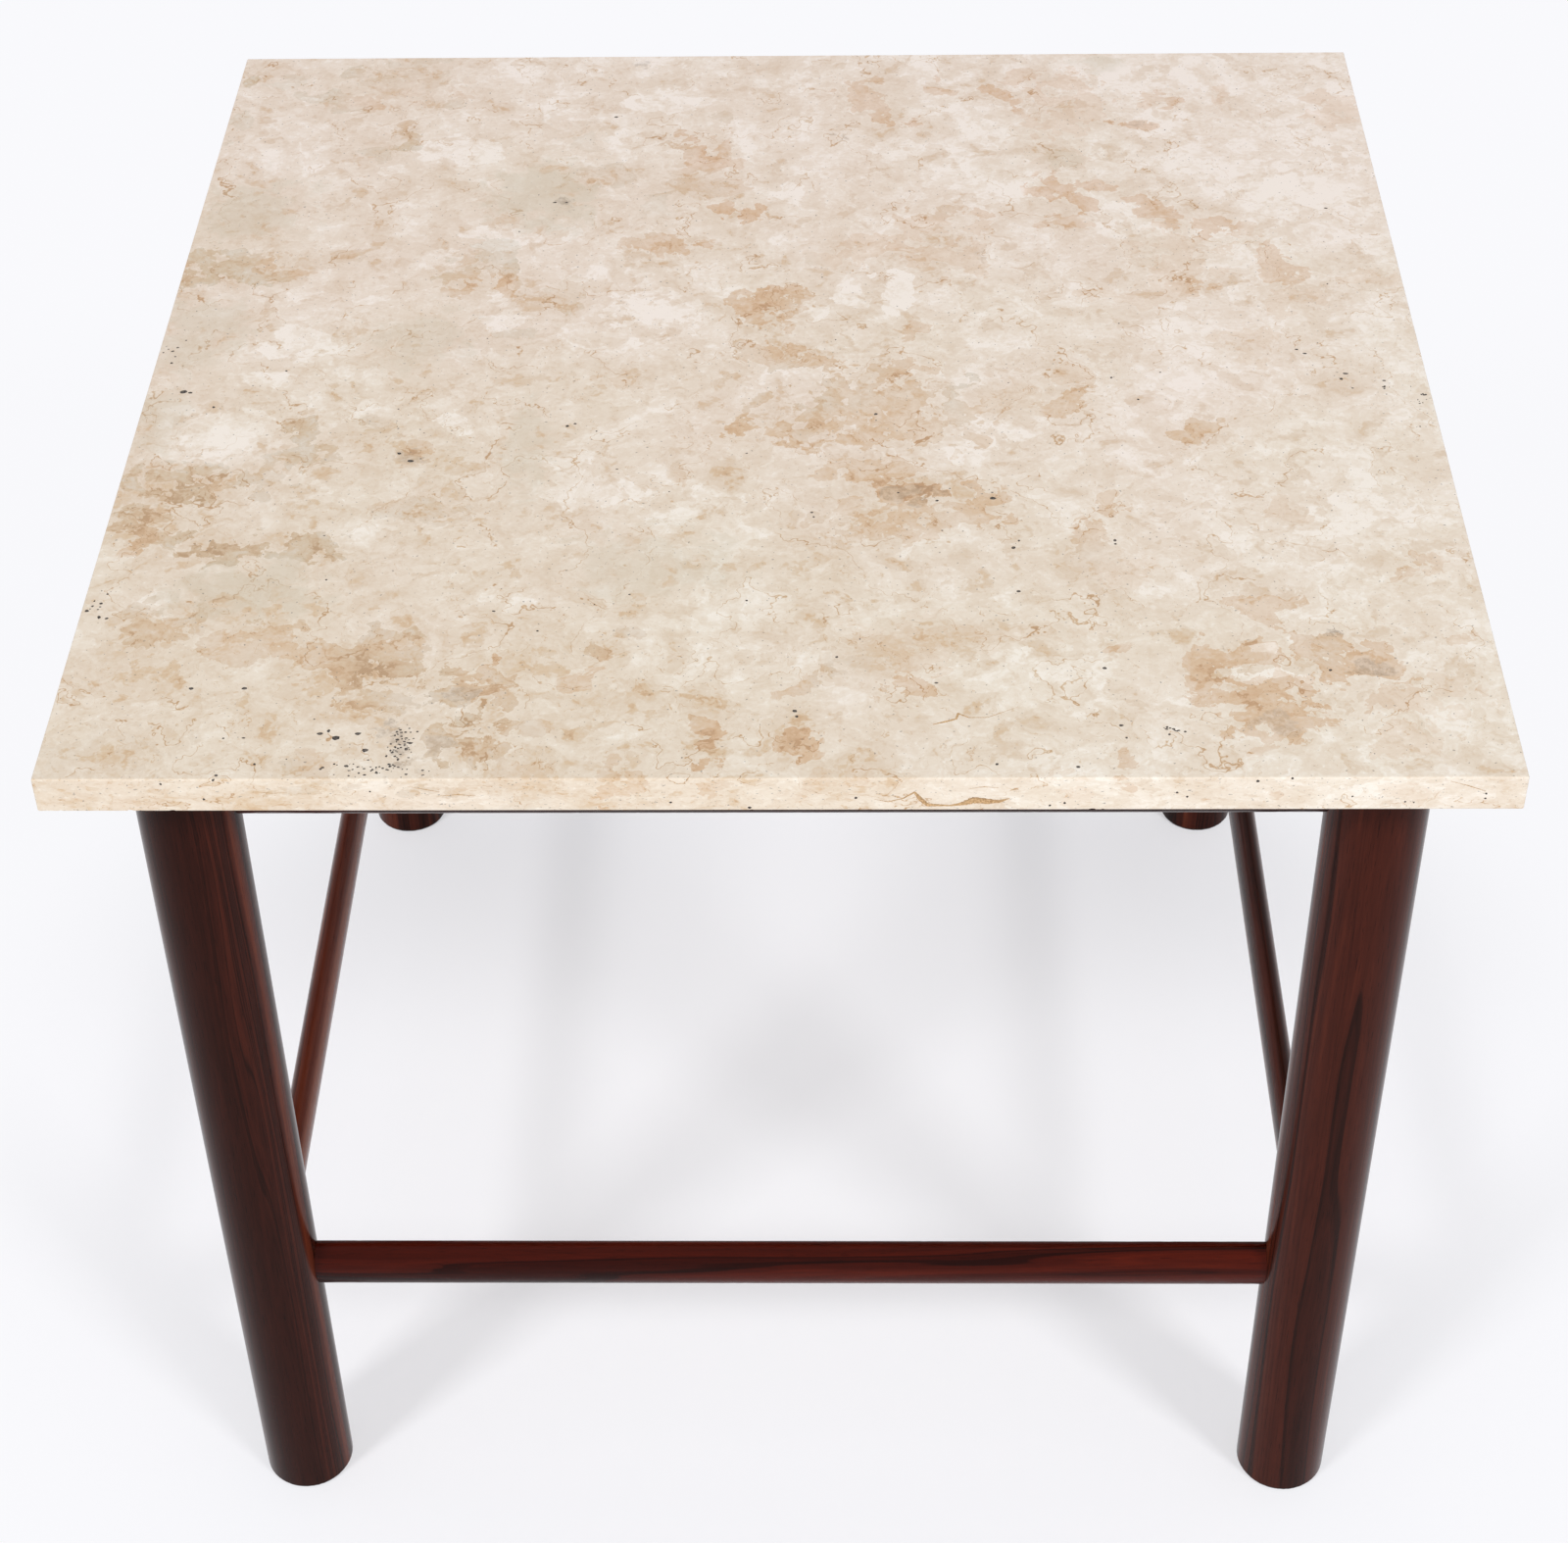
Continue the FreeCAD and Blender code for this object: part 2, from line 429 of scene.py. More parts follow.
# Middle of each side of the slab and the direction along it
SIDES = {
    "front": (Vector((0, -slab_half, 0)), Vector((1, 0, 0))),
    "back": (Vector((0, slab_half, 0)), Vector((-1, 0, 0))),
    "left": (Vector((-slab_half, 0, 0)), Vector((0, -1, 0))),
    "right": (Vector((slab_half, 0, 0)), Vector((0, 1, 0))),
}
for level, chips in ((slab_low.z, LOWER_CHIPS), (slab_high.z, UPPER_CHIPS)):
    for side, along, radius in chips:
        middle, direction = SIDES[side]
        place = middle + direction * (along * MM) + Vector((0, 0, level))
        rough_ball(place, radius * MM, FRESH_WALL, CHIP_SQUASH)
print(len(LOWER_CHIPS) + len(UPPER_CHIPS), "chips")

# %% [markdown]
# ## Stains and lumps of this slab
# Rusty stains, chalky lumps and smoky or grey patches lie where this slab has them. Each is an ellipse,
# placed from the middle of the top. They are painted onto the vertices: every vertex stores how near
# it lies to a mark and how strong that mark is. The finish reads both later and frays the edges with noise.
# Nodes could draw the ellipses too, but two hundred of them make a slow shader.

# %% Where the marks are
# Place from the middle of the top, half length, half width in millimetres, turn in degrees, strength
STAINS_BACK_LEFT = (
    (-347, 324, 6, 7, 0, 0.8), (-327, 316, 16, 9, 0, 0.35), (-285, 331, 6, 8, 0, 0.7),
    (-280, 297, 22, 7, 0, 0.6), (-240, 318, 28, 18, 0, 0.4), (-220, 292, 8, 9, 0, 0.6),
    (-237, 249, 8, 12, 0, 0.85), (-250, 232, 9, 7, 0, 0.5), (-346, 262, 5, 14, 0, 0.45),
    (-142, 266, 12, 12, 0, 0.3), (-128, 236, 10, 11, 0, 0.4), (-44, 271, 6, 8, 0, 0.6),
    (-55, 225, 21, 8, -60, 0.85), (-41, 220, 7, 18, 0, 0.5), (-108, 203, 14, 9, 0, 0.5),
    (-60, 188, 20, 14, 0, 0.55), (-28, 159, 13, 8, -30, 0.9), (-78, 155, 10, 14, 0, 0.35),
    (-70, 118, 16, 12, 0, 0.75), (-178, 105, 14, 14, 0, 0.5), (-185, 85, 10, 14, 0, 0.7),
    (-159, 86, 6, 12, 0, 0.95), (-130, 66, 20, 8, 0, 0.55), (-118, 78, 12, 9, 0, 0.45),
    (-325, 103, 22, 14, 0, 0.75), (-293, 92, 14, 7, 0, 0.75), (-345, 92, 8, 14, 0, 0.65),
    (-265, 107, 11, 6, 0, 0.4), (-12, 60, 20, 9, 25, 0.95), (-5, 38, 10, 10, 0, 0.7),
    (-8, 8, 14, 10, 0, 0.8), (-157, 24, 12, 4, 0, 0.45),
)
STAINS_BACK_RIGHT = (
    (44, 316, 5, 5, 0, 0.7), (50, 290, 24, 7, -42, 0.7), (66, 272, 10, 10, 0, 0.75),
    (92, 313, 9, 5, -60, 0.75), (131, 300, 17, 6, -60, 0.9), (150, 322, 20, 8, 0, 0.6),
    (168, 315, 14, 10, 0, 0.5), (172, 275, 21, 21, 0, 0.4), (203, 258, 14, 5, -10, 0.95),
    (231, 286, 5, 10, 0, 0.8), (218, 290, 8, 6, 0, 0.5), (265, 290, 5, 12, 0, 0.4),
    (333, 276, 16, 15, 0, 0.45), (160, 220, 12, 14, 0, 0.35), (153, 185, 9, 10, 0, 0.9),
    (168, 173, 8, 12, 0, 0.95), (188, 184, 16, 6, 0, 0.85), (211, 161, 17, 8, -42, 0.85),
    (233, 143, 19, 7, -25, 0.85), (262, 133, 12, 6, 0, 0.4), (277, 119, 10, 5, -60, 0.75),
    (284, 98, 9, 14, 0, 0.8), (93, 154, 24, 4, 0, 0.75), (84, 140, 14, 12, 0, 0.4),
    (117, 142, 6, 7, 0, 0.5), (160, 138, 10, 8, 0, 0.65), (45, 112, 22, 12, 0, 0.45),
    (58, 107, 7, 7, 0, 0.8), (92, 108, 17, 17, 0, 0.5), (222, 100, 20, 22, 0, 0.35),
    (231, 77, 9, 9, 0, 0.8), (200, 65, 22, 7, 0, 0.35), (288, 62, 10, 12, 0, 0.4),
    (335, 83, 14, 9, 0, 0.4), (8, 65, 9, 12, 0, 0.8), (65, 33, 10, 8, 0, 0.65), (10, 5, 12, 8, 0, 0.75),
    (257, 15, 14, 12, 0, 0.35),
)
STAINS_FRONT_LEFT = (
    (-262, -64, 7, 10, 0, 0.8), (-256, -88, 12, 11, 0, 0.65), (-212, -69, 13, 6, -20, 0.5),
    (-193, -87, 7, 7, 0, 0.6), (-312, -112, 36, 11, 0, 0.6), (-313, -115, 12, 9, 0, 0.9),
    (-335, -138, 14, 10, 0, 0.6), (-335, -158, 17, 10, 0, 0.75), (-281, -169, 19, 10, -10, 0.85),
    (-243, -171, 16, 8, 0, 0.8), (-190, -136, 22, 8, 0, 0.45), (-290, -225, 8, 10, 0, 0.5),
    (-313, -238, 14, 12, 0, 0.6), (-270, -249, 18, 12, 0, 0.55), (-240, -245, 10, 10, 0, 0.6),
    (-228, -256, 16, 12, -30, 0.5), (-203, -262, 18, 16, 0, 0.75), (-197, -266, 13, 11, 0, 0.9),
    (-180, -246, 8, 6, 0, 0.65), (-198, -294, 12, 12, 0, 0.55), (-152, -278, 18, 11, 0, 0.8),
    (-88, -257, 8, 7, 0, 0.65), (-97, -280, 8, 7, 0, 0.6), (-74, -240, 6, 5, 0, 0.6),
    (-145, -318, 11, 17, 0, 0.8), (-124, -306, 10, 5, 0, 0.5), (-36, -323, 6, 16, 0, 0.8),
    (-24, -69, 8, 9, -30, 0.95), (-15, -42, 15, 5, 40, 0.75), (-89, -16, 9, 6, 0, 0.45),
    (-57, -108, 4, 11, 0, 0.6), (-320, -330, 26, 18, 0, 0.25),
)
STAINS_FRONT_RIGHT = (
    (28, -38, 6, 12, 0, 0.9), (18, -62, 16, 17, 0, 0.8), (57, -35, 7, 18, 0, 0.75),
    (76, -36, 7, 11, 0, 0.9), (79, -70, 8, 7, 0, 0.7), (58, -48, 32, 30, 0, 0.8),
    (45, -103, 20, 16, 0, 0.6), (42, -110, 18, 9, 0, 0.75), (73, -123, 22, 8, -8, 0.95),
    (60, -145, 29, 13, 0, 0.6), (100, -139, 14, 14, 0, 0.75), (148, -10, 12, 8, 0, 0.55),
    (151, -40, 8, 14, 0, 0.85), (112, -38, 24, 12, 0, 0.3), (216, -70, 14, 7, 25, 0.85),
    (164, -153, 20, 6, 70, 0.75), (160, -188, 17, 12, 0, 0.3), (262, -140, 9, 9, 0, 0.45),
    (317, -191, 8, 6, 0, 0.65), (247, -219, 11, 6, 0, 0.75), (251, -236, 13, 3, -60, 0.75),
    (337, -242, 8, 4, 15, 0.55), (206, -272, 9, 18, 0, 0.8), (235, -260, 20, 11, 0, 0.75),
    (233, -290, 21, 11, 0, 0.85), (236, -313, 18, 10, 0, 0.8), (272, -255, 15, 9, 0, 0.9),
    (281, -270, 14, 7, 0, 0.95), (306, -273, 5, 5, 0, 0.65), (290, -294, 15, 8, 0, 0.6),
    (325, -290, 12, 16, 0, 0.35), (165, -260, 5, 5, 0, 0.7), (50, -260, 20, 13, 0, 0.35),
    (63, -282, 11, 9, 0, 0.8), (14, -281, 11, 6, 50, 0.7), (12, -319, 8, 10, 0, 0.85),
    (169, -341, 5, 9, 0, 0.7), (226, -332, 9, 3, -15, 0.55), (302, -322, 14, 9, 0, 0.4),
    (90, -242, 45, 8, 0, 0.25),
)
LUMPS = (
    (-268, 20, 24, 17, 0, 0.9), (-272, 77, 9, 20, 0, 0.6), (-163, 130, 32, 11, 15, 0.9),
    (-204, 107, 11, 9, 0, 0.7), (-160, 50, 16, 18, 0, 0.9), (-76, 50, 23, 26, 0, 0.8),
    (-73, 90, 18, 9, 0, 0.5), (0, 177, 11, 13, 0, 1.0), (-78, 288, 24, 12, 0, 0.8),
    (-200, 233, 25, 13, 0, 0.7), (-240, 206, 10, 8, 0, 0.8), (-299, 292, 7, 5, 0, 0.8),
    (-76, 212, 22, 12, 0, 0.5), (-180, 10, 10, 10, 0, 0.6), (-120, 92, 14, 10, 0, 0.5),
    (62, 66, 13, 23, 0, 1.2), (40, 66, 11, 10, 0, 1.0), (15, 47, 9, 10, 0, 0.9),
    (115, 213, 24, 16, 0, 0.6), (117, 176, 18, 18, 0, 0.6), (66, 228, 18, 12, 0, 0.6),
    (187, 163, 8, 6, 0, 0.9), (287, 170, 36, 26, 0, 0.4), (262, 74, 12, 18, 0, 0.6),
    (217, 47, 9, 7, 0, 0.7), (197, 136, 20, 10, 0, 0.6), (110, 326, 9, 9, 0, 0.6),
    (228, 232, 22, 18, 0, 0.3), (-305, -73, 33, 23, 0, 0.6), (-342, -14, 11, 11, 0, 0.6),
    (-294, -17, 18, 9, 0, 0.7), (-250, -30, 25, 24, 0, 0.5), (-177, -58, 7, 9, 0, 0.9),
    (-107, -122, 24, 26, 0, 0.6), (-38, -155, 26, 29, 0, 0.7), (-254, -115, 15, 5, -25, 0.7),
    (-28, -232, 28, 30, 0, 0.3), (-309, -218, 8, 7, 0, 0.7), (-210, -162, 9, 12, 0, 0.5),
    (-75, -305, 20, 18, 0, 0.4), (-135, -219, 9, 4, 0, 0.7), (112, -68, 22, 14, 0, 0.4),
    (290, -140, 22, 16, 0, 0.6), (55, -200, 45, 22, 0, 0.4), (125, -275, 40, 22, 0, 0.5),
    (187, -95, 14, 12, 0, 0.4), (45, -17, 8, 4, 0, 0.9), (47, -88, 5, 6, 0, 0.9),
    (92, -92, 6, 6, 0, 0.8), (182, -212, 9, 14, 0, 0.5), (255, -190, 30, 16, 0, 0.35),
    (263, -231, 10, 4, 0, 0.8), (241, -254, 10, 4, 0, 1.5), (236, -275, 19, 4.5, 0, 1.5),
)
GREY_CLOUDS = (
    (-150, 178, 28, 34, 0, 1.0), (-320, 165, 30, 30, 0, 0.8), (-330, 30, 24, 34, 0, 0.8),
    (-268, -207, 33, 21, 0, 1.0), (-135, -85, 12, 40, 0, 0.8), (-70, -185, 36, 25, 0, 0.7),
    (-338, -55, 14, 28, 0, 0.7), (-205, 25, 26, 25, 0, 0.7), (193, 336, 12, 8, 0, 0.9),
    (160, 220, 12, 14, 0, 0.8),
)
SMOKE = (
    (273, -244, 8, 7, 0, 1.0), (281, -271, 9, 4, 0, 0.7), (75, -124, 20, 5, -8, 0.7),
    (66, -129, 6, 5, 0, 0.6), (-151, -279, 9, 7, 0, 0.6), (236, -316, 13, 4, 0, 0.45),
    (214, -255, 5, 3, 0, 0.8), (110, 108, 4, 8, 0, 0.4), (203, 258, 12, 4, 0, 0.4),
    (-178, -328, 8, 13, 0, 0.7), (-193, -90, 6, 4, 0, 0.5), (-97, 338, 6, 6, 0, 0.6),
    (30, 245, 8, 5, 0, 0.5), (-151, -328, 7, 5, 0, 0.5), (-136, 170, 6, 5, 0, 0.8),
)
# Along the front face, depth below the top, half length, half height in millimetres, strength
FRONT_STAINS = (
    (-224, 12, 12, 5, 0.5), (-165, 12, 12, 6, 0.5), (-74, 5, 10, 5, 0.5), (-34, 9, 4, 8, 0.5),
    (-148, 16, 8, 4, 0.6), (-78, 18, 7, 2.5, 0.6), (-125, 8, 17, 9, 0.3), (-328, 9, 10, 3, 0.3),
    (140, 12, 8, 6, 0.3), (298, 10, 10, 6, 0.3), (-300, 14, 12, 4, 0.3), (20, 6, 16, 4, 0.25),
    (196, 6, 4, 2, 0.6), (237, 6, 3, 3, 0.6),
)
MARKS = {
    "stain": STAINS_BACK_LEFT + STAINS_BACK_RIGHT + STAINS_FRONT_LEFT + STAINS_FRONT_RIGHT,
    "lump": LUMPS,
    "grey": GREY_CLOUDS,
    "smoke": SMOKE,
}
print({kind: len(marks) for kind, marks in MARKS.items()})

# %% [markdown]
# ## A way to paint the marks
# The sums are made for all vertices at once with numpy, because a plain loop over sixty thousand vertices
# and two hundred marks would take minutes. Each vertex is first pushed about by seeded noise, so that the
# ellipses lose their neat outlines. A mark counts in full up to half its size, and fades out at twice its
# size.

# %% Helpers that paint
MARK_DEPTH = 12.0
MARK_REACH = 2.0
MARK_FADE = 1.5
# Grain and reach of each push, in millimetres
PUSHES = ((45.0, 10.0), (16.0, 8.0))
PUSH_SEED = 2


def pushed_places(mesh):
    """Where each vertex lies, in millimetres, after a push by noise of two sizes."""
    shape_noise.seed_set(PUSH_SEED)
    places = np.empty((len(mesh.vertices), 3))
    for index, vert in enumerate(mesh.vertices):
        place = vert.co / MM
        moved = place.copy()
        for grain, reach in PUSHES:
            moved += shape_noise.noise_vector(place / grain) * reach
        places[index] = moved
    return places


def ellipsoids_of(kind):
    """Heart, half sizes, turn and strength of the marks of one kind, in millimetres and radians."""
    top, front = slab_top / MM, slab_front / MM
    for x, y, half_long, half_wide, turn, strength in MARKS[kind]:
        yield (x, y, top), (half_long, half_wide, MARK_DEPTH), math.radians(turn), strength
    if kind == "stain":
        for x, depth, half_long, half_high, strength in FRONT_STAINS:
            yield (x, front, top - depth), (half_long, MARK_DEPTH, half_high), 0.0, strength


def paint(mesh, places, kind):
    """Store, for each vertex, how near it lies to a mark of one kind and how strong that mark is."""
    near = np.zeros(len(places))
    strong = np.zeros(len(places))
    for heart, sizes, turn, strength in ellipsoids_of(kind):
        turned_back = np.array(Matrix.Rotation(-turn, 3, "Z"))
        own = (places - heart) @ turned_back.T / sizes
        here = np.clip((MARK_REACH - np.linalg.norm(own, axis=1)) / MARK_FADE, 0, 1)
        stronger = here * strength > near * strong
        near = np.where(stronger, here, near)
        strong = np.where(stronger, strength, strong)
    for name, values in ((kind, near), (kind + "_strength", strong)):
        mesh.attributes.new(name, "FLOAT", "POINT").data.foreach_set("value", values)


print("Marks reach", MARK_DEPTH * MARK_REACH, "mm into the stone")

# %% [markdown]
# ## Texture helpers
# Stone, wood and felt are drawn by the same few means: noise of a given size in millimetres, a slope that
# turns noise into patches with an edge, and a push that makes any pattern ragged. Image textures would be
# quicker to set up, but they repeat, and the pieces would have to be unwrapped. Noise on the object's own
# coordinates runs on from the top of the slab to its edges, as it does in solid stone.

# %% Helpers for noise
HALFWAY = 0.5
PUSH_ROUGHNESS = 0.6


def noise(tree, place, grain_mm, detail=4.0, roughness=0.55):
    """Cloud noise whose lumps are about so many millimetres wide."""
    inputs = {"Vector": place, "Scale": 1 / (grain_mm * MM), "Detail": detail, "Roughness": roughness}
    return add_node(tree, "TexNoise", inputs).outputs["Fac"]


def rise(tree, value, low, high):
    """0 at one value and 1 at another, with a smooth slope between."""
    inputs = {"Value": value, "From Min": low, "From Max": high}
    return add_node(tree, "MapRange", inputs, interpolation_type="SMOOTHSTEP").outputs["Result"]


def vector_maths(tree, operation, first, second=(0, 0, 0), third=(0, 0, 0)):
    """A sum of up to three vectors."""
    inputs = {0: first, 1: second, 2: third}
    return add_node(tree, "VectorMath", inputs, operation=operation).outputs["Vector"]


def push_of(tree, place, grain_mm, detail=4.0):
    """A noise of vectors, about as long one way as the other."""
    inputs = {"Vector": place, "Scale": 1 / (grain_mm * MM), "Detail": detail, "Roughness": PUSH_ROUGHNESS}
    push = add_node(tree, "TexNoise", inputs).outputs["Color"]
    return vector_maths(tree, "SUBTRACT", push, (HALFWAY,) * 3)


def pushed(tree, place, push, reach_mm):
    """A point pushed about by noise, which makes whatever is drawn from it ragged."""
    return vector_maths(tree, "MULTIPLY_ADD", push, (reach_mm * MM,) * 3, place)


def pieces(tree, place, grain_mm):
    """Broken pieces about so many millimetres wide: a number for each piece, and how far its edge is."""
    inputs = {"Vector": place, "Scale": 1 / (grain_mm * MM)}
    own = add_node(tree, "TexVoronoi", inputs).outputs["Color"]
    edge = add_node(tree, "TexVoronoi", inputs, feature="DISTANCE_TO_EDGE").outputs["Distance"]
    return add_node(tree, "SeparateColor", {0: own}).outputs[0], edge


def painted(tree, kind):
    """The number that was painted on the vertices."""
    return add_node(tree, "Attribute", attribute_name=kind).outputs["Fac"]


print("Noise helpers ready")

# %% [markdown]
# ## Helpers for tones, colours and finishes
# Most steps below add a share of one value to a tone, so that sum has a short name of its own. Colours come
# from a ramp or are laid over each other, and every finish starts from the same few nodes. Node groups could
# hold these steps inside Blender, but plain functions are easier to read in a script.

# %% Helpers for tones, colours and finishes
def times(tree, first, second):
    """One number times another."""
    return maths(tree, "MULTIPLY", first, second)


def centred(tree, value, middle=HALFWAY):
    """How far a number lies above its middle."""
    return maths(tree, "SUBTRACT", value, middle)


def added(tree, tone, value, weight):
    """A tone with so much of another value added."""
    return maths(tree, "MULTIPLY_ADD", value, weight, tone)


def vein(tree, value, level, width):
    """1 along the line where a noise crosses a level, and 0 beside it."""
    return rise(tree, maths(tree, "ABSOLUTE", centred(tree, value, level)), width, 0.0)


def blend(tree, share, under, over, mode="MIX"):
    """One colour laid over another."""
    inputs = {0: share, 6: under, 7: over}
    return add_node(tree, "Mix", inputs, data_type="RGBA", blend_type=mode).outputs[2]


def ramp(tree, value, stops):
    """A colour for each value, smoothly between the given stops."""
    made = add_node(tree, "ValToRGB", {0: value})
    elements = made.color_ramp.elements
    while len(elements) < len(stops):
        elements.new(HALFWAY)
    for element, (position, colour) in zip(elements, stops):
        element.position = position
        element.color = colour
    return made.outputs["Color"]


def new_finish(name):
    """A new material with its tree, its shader and the place of each point on the object."""
    finish = bpy.data.materials.new(name)
    finish.use_nodes = True
    tree = finish.node_tree
    place = add_node(tree, "TexCoord").outputs["Object"]
    return finish, tree, tree.nodes["Principled BSDF"], place


def relief(tree, shader, height, strength, depth_mm, sunken=False):
    """Give a finish a fine relief, raised or sunken where a noise is high."""
    inputs = {"Height": height, "Strength": strength, "Distance": depth_mm * MM}
    feed(tree, shader.inputs["Normal"], add_node(tree, "Bump", inputs, invert=sunken).outputs["Normal"])


print("Tone, colour and finish helpers ready")

# %% [markdown]
# ## The ground of the travertine
# Travertine is laid down in layers by warm springs, as cream and tan clouds, and the layers show as level
# streaks on the sawn edges. The finish is built as one number, the tone, from a dark tan at 0 to a chalky
# white at 1. One noise alone would look like soft fog. So a noise that is nearly as strong in the fine as in
# the coarse gives the ground, and four more with steep slopes lay clouds, flakes, clots and lumps with clear
# edges over it.

# %% Ground of the travertine
# Grain in millimetres, detail and roughness
GROUND = (130, 6, 0.8)
MIDDLE_TONE, GROUND_SWING = 0.58, 0.8
# How far each noise is pushed and its grain, in millimetres, then its detail and roughness
PATCHES = {
    "clouds": (46, 40, 4, 0.6),
    "flakes": (30, 19, 3, 0.5),
    "clots": (15, 12, 4, 0.6),
    "lumps": (60, 26, 3, 0.5),
}
# A noise, where the edge of its patches begins and ends, and what they add to the tone
PATCH_TONES = (
    ("clouds", 0.46, 0.48, 0.09),
    ("flakes", 0.53, 0.55, 0.09),
    ("flakes", 0.42, 0.40, -0.09),
    ("clots", 0.43, 0.45, 0.08),
    ("lumps", 0.57, 0.59, 0.10),
)
SPECK_LUMPS, SPECK_CLOTS, SPECK_TONE = (0.44, 0.42), (0.50, 0.47), -0.20


def stone_patches(tree, bed, push):
    """The noises that the patches of the stone are cut from."""
    made = {}
    for name, (reach, *look) in PATCHES.items():
        made[name] = noise(tree, pushed(tree, bed, push, reach), *look)
    return made


def ground_tone(tree, ground, patches):
    """The tone of the plain stone with its patches and dark specks."""
    tone = added(tree, MIDDLE_TONE, centred(tree, ground), GROUND_SWING)
    for name, begin, end, amount in PATCH_TONES:
        tone = added(tree, tone, rise(tree, patches[name], begin, end), amount)
    between_lumps = rise(tree, patches["lumps"], *SPECK_LUMPS)
    specks = times(tree, between_lumps, rise(tree, patches["clots"], *SPECK_CLOTS))
    return added(tree, tone, specks, SPECK_TONE)


print(len(PATCH_TONES), "layers of patches on the ground")

# %% [markdown]
# ## Broken pieces and fine grain
# In places the layers broke and grew together again, so the stone looks like a mosaic with darker joints. A
# Voronoi texture gives each piece a tone of its own, and the distance to its edge gives the joint. Joints
# everywhere would look like paving, so they show only in the paler clouds. The slab as a whole turns paler to
# the right, and more mottled to the back, which a sum of coordinates does best. It is also painted paler to
# the back: painted light that evens out the lamps, which light the front of the top more.

# %% Pieces, grain and drift of the travertine
# Push and size in millimetres, swing of the tone, width and tone of the joints
PIECES = (
    (50, 42, 0.13, 0.035, -0.12),
    (22, 13, 0.10, 0.06, -0.06),
)
BROKEN_CLOUDS = (0.46, 0.56)
FINE_GRAIN = (4, 3, 0.7)
GRAIN_SWING = 0.45
CRYSTALS, CRYSTAL_TONE = (0.64, 0.68), 0.12
PALER_TO_RIGHT = 0.28
# Painted light: the top turns paler to the back, where the lamps in front light it less
PAINTED_LIGHT_TO_BACK = 0.20
BACK_HALF = (-0.05, 0.25)
MOTTLE_PUSH, MOTTLE, MOTTLE_SWING = 40, (34, 5, 0.66), 0.8


def piece_tone(tree, tone, bed, push, clouds):
    """A tone broken into pieces, with joints where the clouds are pale."""
    broken = rise(tree, clouds, *BROKEN_CLOUDS)
    for reach, size, swing, joint_width, joint_amount in PIECES:
        own, edge = pieces(tree, pushed(tree, bed, push, reach), size)
        tone = added(tree, tone, centred(tree, own), swing)
        joint = times(tree, rise(tree, edge, joint_width, 0.0), broken)
        tone = added(tree, tone, joint, joint_amount)
    return tone


def grain_tone(tree, tone, grain):
    """A tone with fine grain and pale crystals."""
    tone = added(tree, tone, centred(tree, grain), GRAIN_SWING)
    return added(tree, tone, rise(tree, grain, *CRYSTALS), CRYSTAL_TONE)


def drift_tone(tree, tone, ways, mottle, backward):
    """A tone that turns paler to the right, more mottled to the back, and paler to the back as painted light.
    """
    tone = added(tree, tone, ways["X"], PALER_TO_RIGHT)
    # Painted light: paler to the back, to even out the lamps in front
    tone = added(tree, tone, ways["Y"], PAINTED_LIGHT_TO_BACK)
    return added(tree, tone, times(tree, centred(tree, mottle), backward), MOTTLE_SWING)


print("Pieces of", " and ".join(str(size) for _, size, *_ in PIECES), "mm")

# %% [markdown]
# ## Marks and veins
# The painted marks are soft and round. The finish adds the noise of the flakes and clots to how near a mark
# is, and a steep slope then cuts the sum off, so a stain ends in ragged flakes as it does in the stone. Veins
# could be drawn as curves on the slab. It is simpler to show the line along which a noise crosses one level,
# because that line winds and branches by itself.

# %% Marks and veins of the travertine
# Raggedness of a mark, and where its edge begins and ends
MARK_EDGES = {
    "stain": (3.0, 0.53, 0.57),
    "lump": (1.6, 0.65, 0.69),
    "grey": (1.6, 0.40, 0.93),
    "smoke": (2.6, 0.57, 0.85),
}
MARK_TONES = {"stain": -0.44, "lump": 0.24, "grey": -0.05}
FRAYED_FROM = (0.0, 0.1)
WEAKEST_MARK, MARK_SWING = 0.7, 0.6
STAIN_FADES_TO_BACK = -0.08
HALO_TONE = -0.04
SEAM_PUSH, SEAM, SEAM_WIDTH = 46, (75, 3), 0.004
SEAM_CLOUDS, SEAM_TONE = (0.46, 0.52), -0.7
HAIR_LEVEL, HAIR_WIDTH = 0.52, 0.006
HAIR_CLOTS, HAIR_TONE = (0.50, 0.54), -0.4
HAIR_FADES_TO_BACK = -0.7


def frayed_marks(tree, patches, backward):
    """How strongly each kind of mark shows, with its edges frayed."""
    fray = maths(tree, "SUBTRACT", maths(tree, "ADD", patches["clots"], patches["flakes"]), 1.0)
    depth = added(tree, WEAKEST_MARK, patches["clouds"], MARK_SWING)
    marks = {}
    for kind, (raggedness, outside, inside) in MARK_EDGES.items():
        near = painted(tree, kind)
        looseness = times(tree, rise(tree, near, *FRAYED_FROM), raggedness)
        frayed = added(tree, near, fray, looseness)
        strength = times(tree, painted(tree, kind + "_strength"), depth)
        marks[kind] = times(tree, rise(tree, frayed, outside, inside), strength)
    marks["stain"] = times(tree, marks["stain"], added(tree, 1.0, backward, STAIN_FADES_TO_BACK))
    return marks


def mark_tone(tree, tone, marks):
    """A tone darkened or paled by the marks, with a faint halo about the stains."""
    for kind, amount in MARK_TONES.items():
        tone = added(tree, tone, marks[kind], amount)
    halo = times(tree, painted(tree, "stain"), painted(tree, "stain_strength"))
    return added(tree, tone, halo, HALO_TONE)


